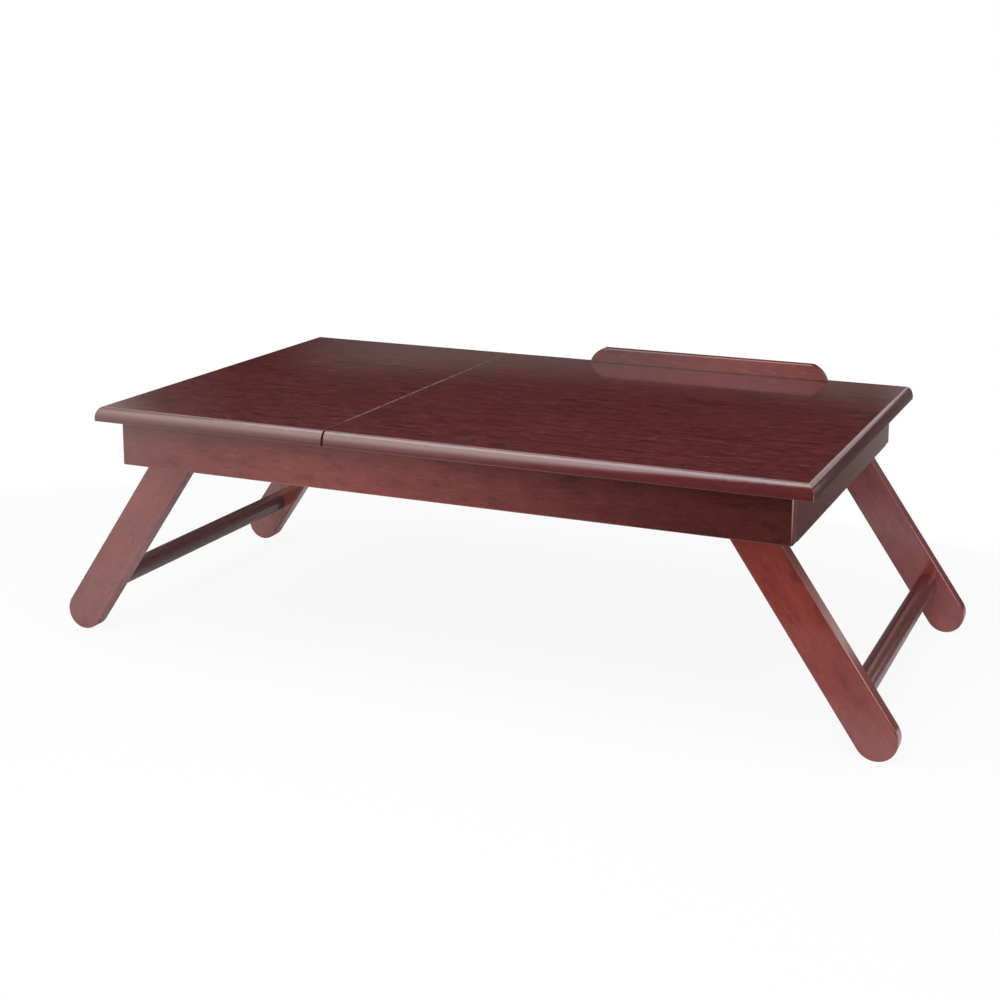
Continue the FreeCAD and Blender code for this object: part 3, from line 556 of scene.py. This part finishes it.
# a ring of cloth round the table, which only reflections see. Each direction is degrees
# from +X, tone near the floor, tone added higher up, height of that edge, its half width
cloth = dict(
    reach=(0.62, 0.46), height=0.64, steps=96, tint=(1.02, 0.98, 0.96), highest=3.0,
    directions=[
        (-180, 0.35, 0.5, 0.30, 0.12), (-153, 0.50, 0.8, 0.28, 0.12),
        (-143, 0.90, 1.5, 0.26, 0.12), (-134, 0.52, 1.7, 0.25, 0.12),
        (-110, 0.27, 2.0, 0.25, 0.12), (-97, 0.16, 2.1, 0.27, 0.12),
        (-84, 0.08, 2.3, 0.31, 0.10), (-72, 0.03, 2.0, 0.43, 0.13),
        (-60, 0.02, 1.5, 0.57, 0.18), (-45, 0.02, 1.4, 0.45, 0.15),
        (-33, 0.05, 0.4, 0.25, 0.05), (-8, 0.08, 0.4, 0.25, 0.05),
        (24, 0.12, 0.5, 0.28, 0.03), (31, 0.12, 0.8, 0.275, 0.02),
        (37, 0.03, 0.72, 0.272, 0.02), (45, 0.05, 0.75, 0.272, 0.02),
        (52, 0.25, 0.9, 0.272, 0.03), (61, 0.01, 0.4, 0.50, 0.06),
        (100, 0.01, 0.3, 0.55, 0.06), (150, 0.02, 0.8, 0.46, 0.06),
        (158, 0.06, 0.8, 0.40, 0.08), (166, 0.30, 0.6, 0.34, 0.10),
        (180, 0.35, 0.5, 0.30, 0.12)],
    # a grey haze low on the user's side
    haze=dict(tone=0.13, heights=(0.27, 0.31), depths=(0.30, 0.40)),
    # a low card at the right end, under the top, lights the legs' arrises
    card=dict(side=1.1, front=2.2, sideToFront=(0.08, -0.02), rightEnd=(0.38, 0.46),
              userLimit=(0.30, 0.25), foot=(0.09, 0.12), head=(0.225, 0.20)))


def clothTone(tree, values):
    axes = axesOf(tree, objectPlace(tree))
    angle = mathNode(tree, "ARCTAN2", axes["Y"], axes["X"])
    turn = total(tree, mathNode(tree, "DIVIDE", angle, 2 * math.pi), 0.5)
    ramp = addNode(tree, "ShaderNodeValToRGB")
    join(tree, turn, ramp.inputs["Fac"])
    stops = ramp.color_ramp.elements
    for number, (degrees, low, high, level, soft) in enumerate(values["directions"]):
        place = degrees / 360 + 0.5
        stop = stops[number] if number < 2 else stops.new(place)    # a new ramp has two
        stop.position = place
        stop.color = (low, high / values["highest"], level, soft)
    tones = addNode(tree, "ShaderNodeSeparateColor")
    join(tree, ramp.outputs["Color"], tones.inputs[0])
    low, high, level = tones.outputs
    rise = mathNode(tree, "SUBTRACT", axes["Z"], level)
    rise = mathNode(tree, "DIVIDE", rise, ramp.outputs["Alpha"])
    rise = remap(tree, rise, -1.0, 1.0, 0.0, values["highest"])
    haze = values["haze"]
    haze = product(tree, remap(tree, axes["Z"], *haze["heights"], haze["tone"], 0.0),
                   remap(tree, axes["Y"], *haze["depths"]))
    card = values["card"]
    card = product(tree, remap(tree, axes["X"], *card["rightEnd"]),
                   remap(tree, axes["Y"], *card["sideToFront"], card["side"], card["front"]),
                   remap(tree, axes["Y"], *card["userLimit"]),
                   remap(tree, axes["Z"], *card["foot"]),
                   remap(tree, axes["Z"], *card["head"]))
    return total(tree, low, product(tree, high, rise), haze, card)


def makeCloth(values):
    mesh = bpy.data.meshes.new("clothRing")
    shape = bmesh.new()
    foot = shape.verts.new((1, 0, 0))
    head = shape.verts.new((1, 0, values["height"]))
    edge = shape.edges.new((foot, head))
    bmesh.ops.spin(shape, geom=[foot, head, edge], cent=(0, 0, 0), axis=(0, 0, 1),
                   angle=2 * math.pi, steps=values["steps"], use_merge=True)
    bmesh.ops.scale(shape, vec=(*values["reach"], 1), verts=shape.verts)
    shape.to_mesh(mesh)
    shape.free()
    ring = bpy.data.objects.new("clothRing", mesh)
    bpy.context.scene.collection.objects.link(ring)
    material = bpy.data.materials.new("ringCloth")
    material.use_nodes = True
    tree = material.node_tree
    tree.nodes.clear()
    glow = addNode(tree, "ShaderNodeEmission")
    glow.inputs["Color"].default_value = (*values["tint"], 1)
    join(tree, clothTone(tree, values), glow.inputs["Strength"])
    join(tree, glow.outputs[0], addNode(tree, "ShaderNodeOutputMaterial").inputs["Surface"])
    mesh.materials.append(material)
    ring.visible_camera = False
    ring.visible_diffuse = False
    ring.visible_transmission = False
    ring.visible_shadow = False


# only the lamp overhead shows in reflections
lamps = [
    dict(name="overhead", place=(0, -0.6, 1.25), target=(0, -0.35, 0), size=(1.8, 1.3),
         radiance=2.3, mirrored=True),
    dict(name="front", place=(0.2, -1.75, 0.6), target=(0, 0, 0.15), size=(1.6, 0.8),
         radiance=2.0, mirrored=False),
    dict(name="rightSide", place=(1.7, 0.1, 0.6), target=(0, 0, 0.15), size=(1.0, 0.7),
         radiance=1.2, mirrored=False),
    dict(name="leftSide", place=(-1.7, 0.4, 0.6), target=(0, 0, 0.15), size=(1.0, 0.7),
         radiance=1.2, mirrored=False),
    dict(name="behind", place=(0.0, 1.8, 0.6), target=(0, 0, 0.15), size=(1.6, 0.7),
         radiance=1.0, mirrored=False)]


def softBox(name, place, target, size, radiance, mirrored):
    lamp = bpy.data.lights.new(name, "AREA")
    lamp.shape = "RECTANGLE"
    lamp.size, lamp.size_y = size
    lamp.energy = radiance * math.pi * size[0] * size[1]
    light = bpy.data.objects.new(name, lamp)
    bpy.context.scene.collection.objects.link(light)
    light.location = place
    light.rotation_euler = (Vector(target) - Vector(place)).to_track_quat("-Z", "Y").to_euler()
    light.visible_camera = False
    light.visible_glossy = mirrored


makeFloor(floorPaint)
makeWorld(room)
makeCloth(cloth)
for lamp in lamps:
    softBox(**lamp)
print("studio built")

camera = dict(place=(0.58898, -1.33611, 0.53590), yaw=22.348, pitch=9.755, roll=0.350,
              lens=60.395, shift=(-0.06, -0.18), sensor=36.0, nearest=0.01)


def makeCamera(values):
    data = bpy.data.cameras.new("camera")
    data.sensor_width = values["sensor"]
    data.lens = values["lens"]
    data.shift_x, data.shift_y = values["shift"]
    data.clip_start = values["nearest"]
    view = bpy.data.objects.new("camera", data)
    bpy.context.scene.collection.objects.link(view)
    turn = Matrix.Rotation(math.radians(values["yaw"]), 4, "Z")
    tip = Matrix.Rotation(math.radians(90 - values["pitch"]), 4, "X")
    roll = Matrix.Rotation(math.radians(values["roll"]), 4, "Z")
    view.matrix_world = Matrix.Translation(values["place"]) @ turn @ tip @ roll
    bpy.context.scene.camera = view


makeCamera(camera)
bpy.context.scene.view_settings.view_transform = "Standard"
